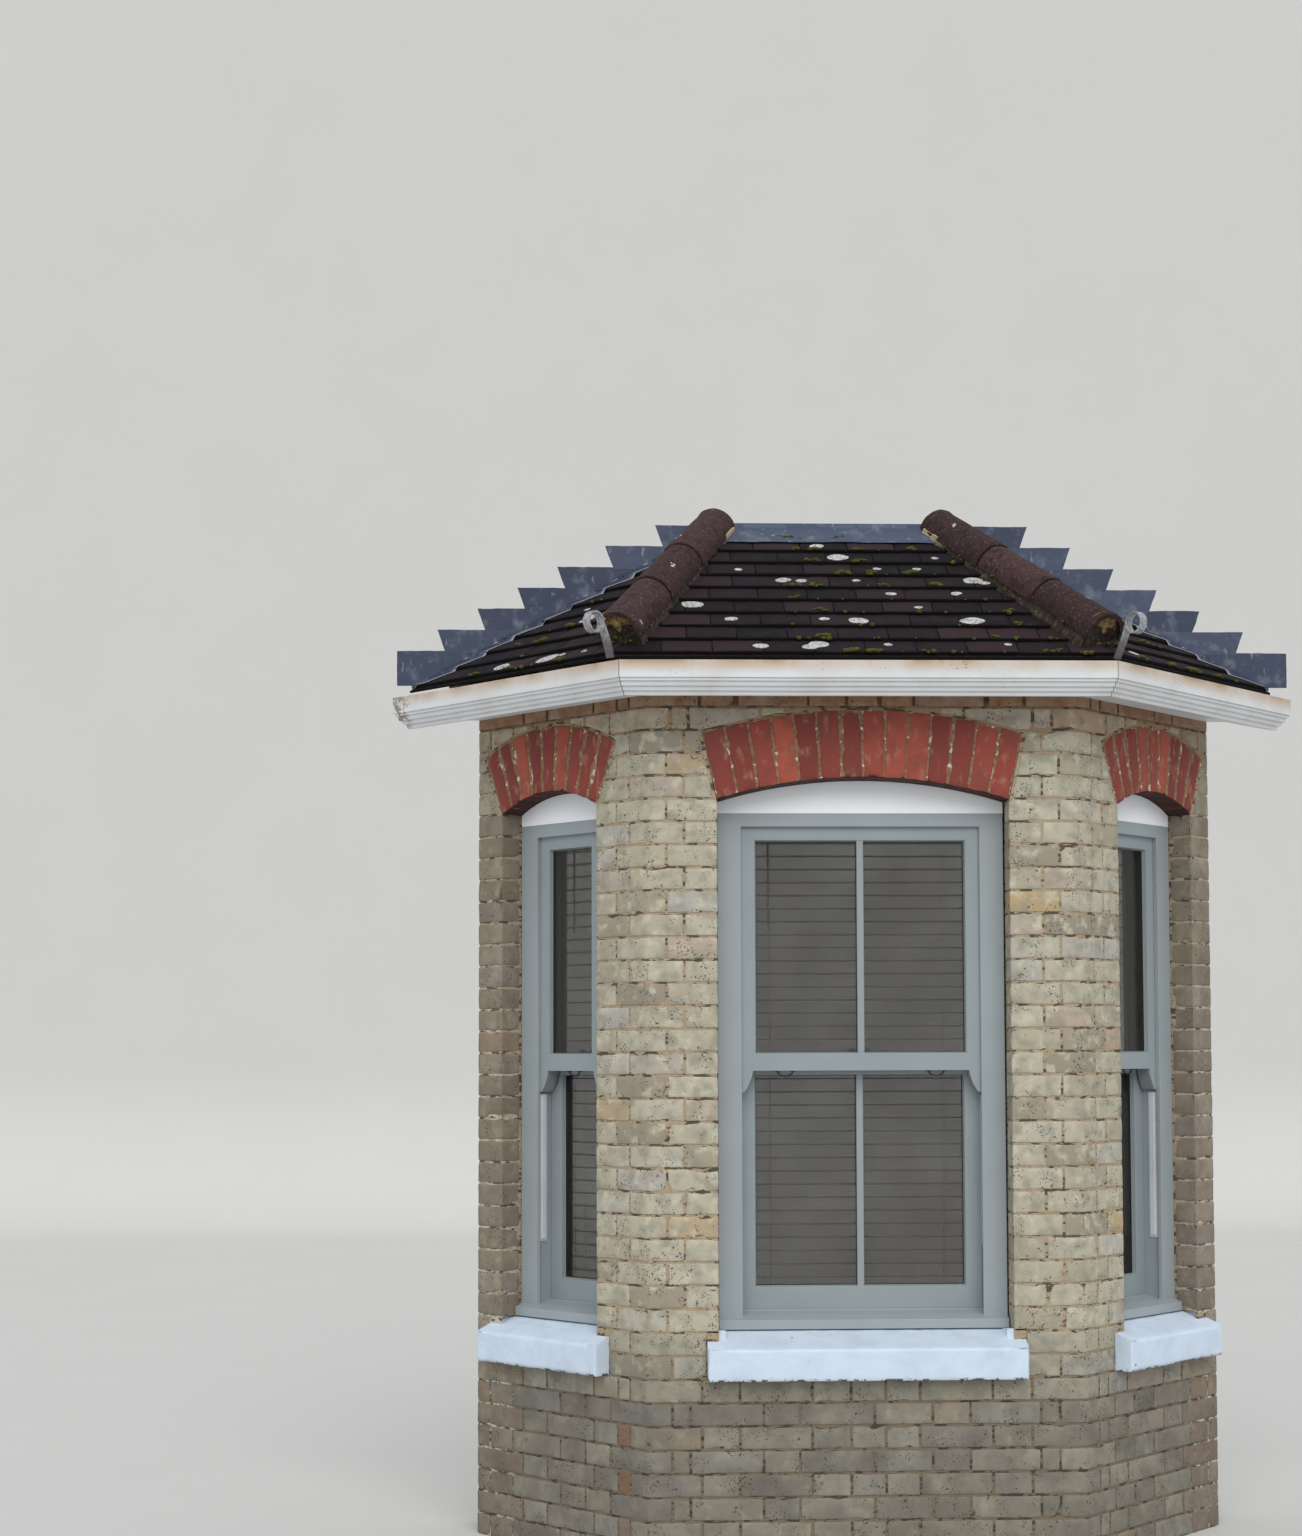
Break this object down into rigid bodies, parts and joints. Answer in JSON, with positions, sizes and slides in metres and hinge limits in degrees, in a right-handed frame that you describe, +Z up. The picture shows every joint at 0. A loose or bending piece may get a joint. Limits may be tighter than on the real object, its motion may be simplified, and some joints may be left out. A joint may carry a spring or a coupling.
{
  "type": "bay window",
  "caption": "Canted brick bay with sash windows under segmental arches, stone sills, ogee gutter and a hipped plain-tile roof, cut off at the house wall.",
  "frame": {"origin": "on the ground, midway along the outer face of the house wall", "axes": "+X along the house wall to the right as seen from the street, +Y into the house, +Z up"},
  "size_m": [3.1772, 1.0541, 3.5801],
  "materials": {
    "stock_brick": "matte",
    "red_brick": "matte",
    "painted_stone": "satin paint",
    "painted_joinery": "satin paint",
    "white_board": "satin paint",
    "window_glass": "polished",
    "blind_slats": "satin paint",
    "bare_timber": "sawn",
    "plaster": "matte paint",
    "floor_finish": "satin",
    "clay_tile": "matte",
    "hip_tile": "matte",
    "galvanised_iron": "matte",
    "lead": "matte",
    "gutter": "gloss",
    "window_metal": "satin"
  },
  "bodies": {
    "root": {"apron_flashing": "lead", "blinds": "blind_slats", "bressummer": "bare_timber", "ceiling": "plaster", "ceiling_joists": "bare_timber", "eaves_boards": "white_board", "floor": "floor_finish", "front_arch": "red_brick", "front_box_frame": "painted_joinery", "front_glass": "window_glass", "front_lower_sash": "painted_joinery", "front_roof_tiles": "clay_tile", "front_sill": "painted_stone", "front_upper_sash": "painted_joinery", "front_wall": "stock_brick", "gutter": "gutter", "head_infills": "white_board", "hip_irons": "galvanised_iron", "hip_rafters": "bare_timber", "left_arch": "red_brick", "left_box_frame": "painted_joinery", "left_glass": "window_glass", "left_hip_tiles": "hip_tile", "left_lower_sash": "painted_joinery", "left_roof_tiles": "clay_tile", "left_sill": "painted_stone", "left_upper_sash": "painted_joinery", "left_wall": "stock_brick", "rafters": "bare_timber", "right_arch": "red_brick", "right_box_frame": "painted_joinery", "right_glass": "window_glass", "right_hip_tiles": "hip_tile", "right_lower_sash": "painted_joinery", "right_roof_tiles": "clay_tile", "right_sill": "painted_stone", "right_upper_sash": "painted_joinery", "right_wall": "stock_brick", "sash_fittings": "window_metal", "step_flashings": "lead", "wall_ledgers": "bare_timber", "wall_plaster": "plaster", "wall_plate": "bare_timber", "window_boards": "white_board", "window_lintels": "bare_timber"}
  },
  "joints": []
}
